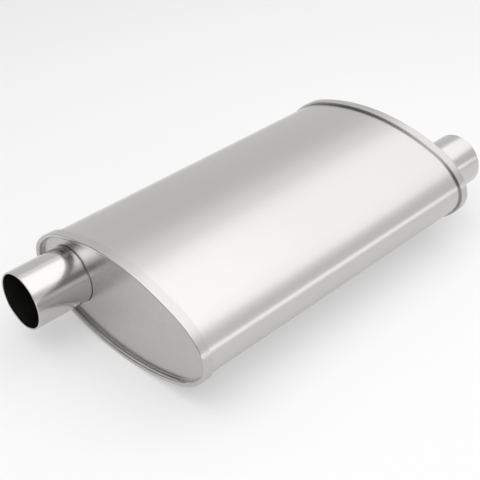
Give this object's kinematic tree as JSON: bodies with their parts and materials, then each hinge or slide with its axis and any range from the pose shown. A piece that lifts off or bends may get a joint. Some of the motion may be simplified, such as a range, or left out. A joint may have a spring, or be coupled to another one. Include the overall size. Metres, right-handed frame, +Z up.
{
  "type": "muffler",
  "caption": "Oval satin steel exhaust muffler with rolled lock-seam end rims, recessed heads and straight necks on opposite sides of its two ends.",
  "frame": {"origin": "Middle of the oval body, midway between its two rim faces; also the middle of the bounding box.", "axes": "+X runs along the body from the inlet end to the outlet end, +Y points to the side where the inlet neck is, and +Z is up. The inlet neck leaves towards -X at +Y and the outlet neck leaves towards +X at -Y."},
  "size_m": [0.472, 0.2328, 0.1076],
  "materials": {
    "shell_steel": "satin stainless steel sheet",
    "liner_steel": "mill finish stainless steel sheet",
    "head_steel": "satin stainless steel pressing",
    "neck_steel": "bright stainless steel tube",
    "weld_steel": "heat tinted weld bead",
    "baffle_steel": "mill finish stainless steel pressing",
    "tube_steel": "mill finish perforated stainless steel tube",
    "steel_wool": "matted stainless steel wool",
    "glass_fibre": "matted glass fibre"
  },
  "bodies": {
    "root": {"outer_shell": "shell_steel", "inner_shell": "liner_steel", "front_head": "head_steel", "rear_head": "head_steel", "inlet_neck": "neck_steel", "outlet_neck": "neck_steel", "inlet_neck_weld": "weld_steel", "outlet_neck_weld": "weld_steel", "front_baffle": "baffle_steel", "front_mid_baffle": "baffle_steel", "rear_mid_baffle": "baffle_steel", "rear_baffle": "baffle_steel", "inlet_tube": "tube_steel", "return_tube": "tube_steel", "outlet_tube": "tube_steel", "inlet_tube_weld": "weld_steel", "outlet_tube_weld": "weld_steel", "inlet_wool_sleeve": "steel_wool", "return_wool_sleeve": "steel_wool", "outlet_wool_sleeve": "steel_wool", "glass_fibre_packing": "glass_fibre"}
  },
  "joints": []
}
